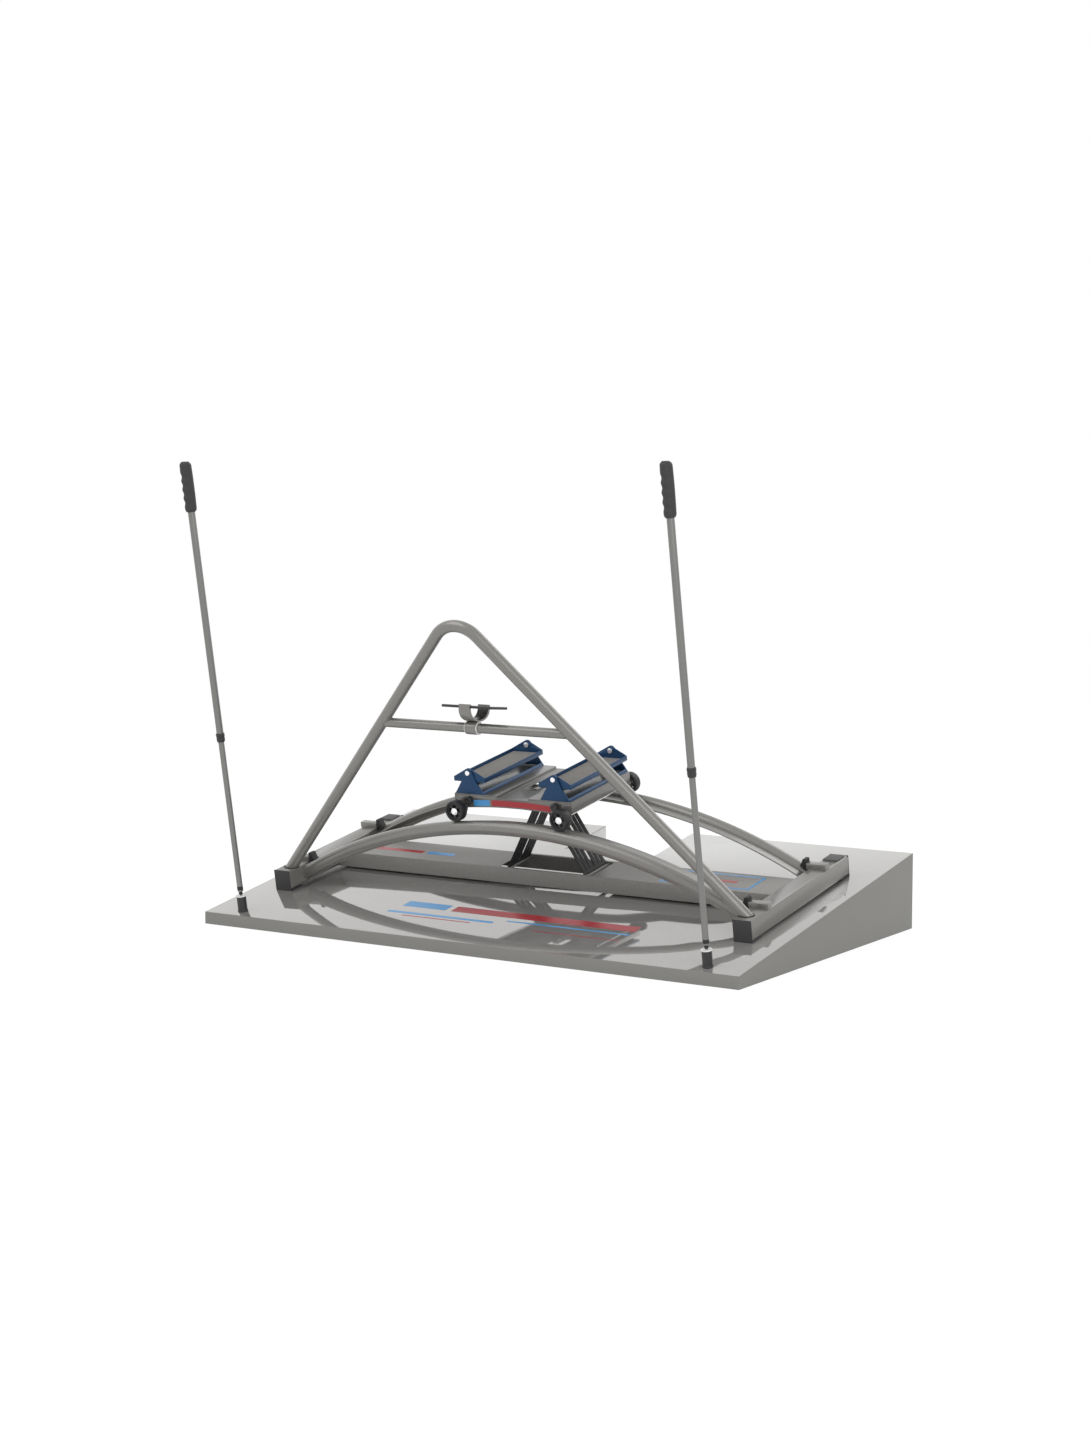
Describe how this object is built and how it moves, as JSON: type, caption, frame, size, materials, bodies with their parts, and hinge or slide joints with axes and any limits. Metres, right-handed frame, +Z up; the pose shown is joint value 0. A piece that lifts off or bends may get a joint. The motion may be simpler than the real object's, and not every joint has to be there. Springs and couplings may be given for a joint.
{
  "type": "ski simulator",
  "caption": "Ski simulator on an inclined platform: a wheeled carriage with tilting footrests on arched rails, elastic bands, a bent handrail with a tablet holder, and a pair of ski poles.",
  "frame": {"origin": "on the floor, in the middle of the platform's footprint, on the underside of the platform's middle cross rib", "axes": "+X across the machine, +Y from the low front edge to the high back edge, +Z up"},
  "size_m": [2.2, 1.5594, 1.6705],
  "materials": {
    "platform_gloss_grey": "smooth glossy grey sheet",
    "platform_board_grey": "plain grey board",
    "grey_metallic_paint": "satin metallic grey paint",
    "black_rubber": "matt black rubber",
    "tyre_black": "matt black polyurethane tyre",
    "black_plastic": "black moulded plastic",
    "blue_paint": "satin dark blue paint",
    "bright_steel": "bright plated steel",
    "grey_mat": "ribbed grey rubber mat",
    "white_plastic": "white moulded plastic",
    "pole_grey": "grey anodised aluminium"
  },
  "bodies": {
    "base": {"platform_deck": "platform_gloss_grey", "platform_frame": "platform_board_grey", "cross_member_left": "grey_metallic_paint", "cross_member_right": "grey_metallic_paint", "end_foot_front_left": "black_rubber", "end_foot_front_right": "black_rubber", "end_foot_back_left": "black_rubber", "end_foot_back_right": "black_rubber", "base_beam": "grey_metallic_paint", "rail_front": "grey_metallic_paint", "rail_back": "grey_metallic_paint", "stop_bumper_front_left": "black_rubber", "stop_bumper_front_right": "black_rubber", "stop_bumper_back_left": "black_rubber", "stop_bumper_back_right": "black_rubber", "handrail": "grey_metallic_paint", "crossbar": "grey_metallic_paint", "clamp_liner": "white_plastic", "elastic_bands_left": "black_rubber", "elastic_bands_right": "black_rubber", "pole_socket_left": "black_plastic", "pole_socket_right": "black_plastic"},
    "carriage": {"carriage_deck": "grey_metallic_paint", "carriage_apron_front": "grey_metallic_paint", "carriage_apron_back": "grey_metallic_paint", "band_hanger": "grey_metallic_paint", "tie_rod_left": "black_plastic", "tie_rod_right": "black_plastic", "axle_left": "bright_steel", "axle_right": "bright_steel", "footrest_base_left": "blue_paint", "footrest_base_right": "blue_paint", "pivot_bolt_front_left": "bright_steel", "pivot_bolt_front_right": "bright_steel", "pivot_bolt_back_left": "bright_steel", "pivot_bolt_back_right": "bright_steel"},
    "tablet_holder": {"tablet_clamp": "grey_metallic_paint", "tablet": "black_plastic"},
    "wheel_front_left": {"tyre_front_left": "tyre_black", "rim_front_left": "black_plastic"},
    "wheel_front_right": {"tyre_front_right": "tyre_black", "rim_front_right": "black_plastic"},
    "wheel_back_left": {"tyre_back_left": "tyre_black", "rim_back_left": "black_plastic"},
    "wheel_back_right": {"tyre_back_right": "tyre_black", "rim_back_right": "black_plastic"},
    "footrest_left": {"footrest_tray_left": "blue_paint", "footrest_mat_left": "grey_mat"},
    "footrest_right": {"footrest_tray_right": "blue_paint", "footrest_mat_right": "grey_mat"},
    "pole_ball_left": {"pole_ball_left": "black_rubber"},
    "pole_lower_left": {"pole_lower_shaft_left": "pole_grey"},
    "pole_upper_left": {"pole_upper_shaft_left": "pole_grey", "pole_lock_collar_left": "black_plastic", "pole_grip_left": "black_plastic"},
    "pole_ball_right": {"pole_ball_right": "black_rubber"},
    "pole_lower_right": {"pole_lower_shaft_right": "pole_grey"},
    "pole_upper_right": {"pole_upper_shaft_right": "pole_grey", "pole_lock_collar_right": "black_plastic", "pole_grip_right": "black_plastic"}
  },
  "joints": [
    {"name": "carriage_travel", "type": "hinge", "parent": "base", "child": "carriage", "pos_m": [0, 0.25383, -1.45369], "axis": [0, 0.9848, 0.1736], "range_deg": [-20, 20], "stiffness_Nm_per_rad": 2000, "deforming": ["elastic_bands_left", "elastic_bands_right"]},
    {"name": "tablet_tilt", "type": "hinge", "parent": "base", "child": "tablet_holder", "pos_m": [-0.004, -0.52308, 0.76357], "axis": [1, 0, 0], "range_deg": [-60, 60]},
    {"name": "wheel_front_left_roll", "type": "hinge", "parent": "carriage", "child": "wheel_front_left", "pos_m": [-0.2185, -0.31874, 0.44022], "axis": [0, 0.9848, 0.1736], "range_deg": [-1022, 1022]},
    {"name": "wheel_front_right_roll", "type": "hinge", "parent": "carriage", "child": "wheel_front_right", "pos_m": [0.2185, -0.31874, 0.44022], "axis": [0, 0.9848, 0.1736], "range_deg": [-1022, 1022]},
    {"name": "wheel_back_left_roll", "type": "hinge", "parent": "carriage", "child": "wheel_back_left", "pos_m": [-0.2185, 0.14411, 0.52184], "axis": [0, 0.9848, 0.1736], "range_deg": [-1022, 1022]},
    {"name": "wheel_back_right_roll", "type": "hinge", "parent": "carriage", "child": "wheel_back_right", "pos_m": [0.2185, 0.14411, 0.52184], "axis": [0, 0.9848, 0.1736], "range_deg": [-1022, 1022]},
    {"name": "footrest_left_tilt", "type": "hinge", "parent": "carriage", "child": "footrest_left", "pos_m": [-0.1788, -0.10984, 0.60876], "axis": [0, 0.9848, 0.1736], "range_deg": [-22, 22]},
    {"name": "footrest_right_tilt", "type": "hinge", "parent": "carriage", "child": "footrest_right", "pos_m": [0.1788, -0.10984, 0.60876], "axis": [0, 0.9848, 0.1736], "range_deg": [-22, 22]},
    {"name": "pole_left_swing", "type": "hinge", "parent": "base", "child": "pole_ball_left", "pos_m": [-0.961, -0.61481, 0.11925], "axis": [1, 0, 0], "range_deg": [-25, 25], "stiffness_Nm_per_rad": 60, "springref_deg": -0.95},
    {"name": "pole_left_sway", "type": "hinge", "parent": "pole_ball_left", "child": "pole_lower_left", "pos_m": [-0.961, -0.61481, 0.11925], "axis": [0, 0.9848, 0.1736], "range_deg": [-15, 15], "stiffness_Nm_per_rad": 60},
    {"name": "pole_left_length", "type": "slide", "parent": "pole_lower_left", "child": "pole_upper_left", "axis": [0, -0.1736, 0.9848], "range_m": [-0.25, 0.15]},
    {"name": "pole_right_swing", "type": "hinge", "parent": "base", "child": "pole_ball_right", "pos_m": [0.961, -0.61481, 0.11925], "axis": [1, 0, 0], "range_deg": [-25, 25], "stiffness_Nm_per_rad": 60, "springref_deg": -0.95},
    {"name": "pole_right_sway", "type": "hinge", "parent": "pole_ball_right", "child": "pole_lower_right", "pos_m": [0.961, -0.61481, 0.11925], "axis": [0, 0.9848, 0.1736], "range_deg": [-15, 15], "stiffness_Nm_per_rad": 60},
    {"name": "pole_right_length", "type": "slide", "parent": "pole_lower_right", "child": "pole_upper_right", "axis": [0, -0.1736, 0.9848], "range_m": [-0.25, 0.15]}
  ],
  "couplings": [
    {"joint": "wheel_front_left_roll", "follows": "carriage_travel", "ratio": 51.018},
    {"joint": "wheel_front_right_roll", "follows": "carriage_travel", "ratio": 51.018},
    {"joint": "wheel_back_left_roll", "follows": "carriage_travel", "ratio": 51.018},
    {"joint": "wheel_back_right_roll", "follows": "carriage_travel", "ratio": 51.018}
  ]
}
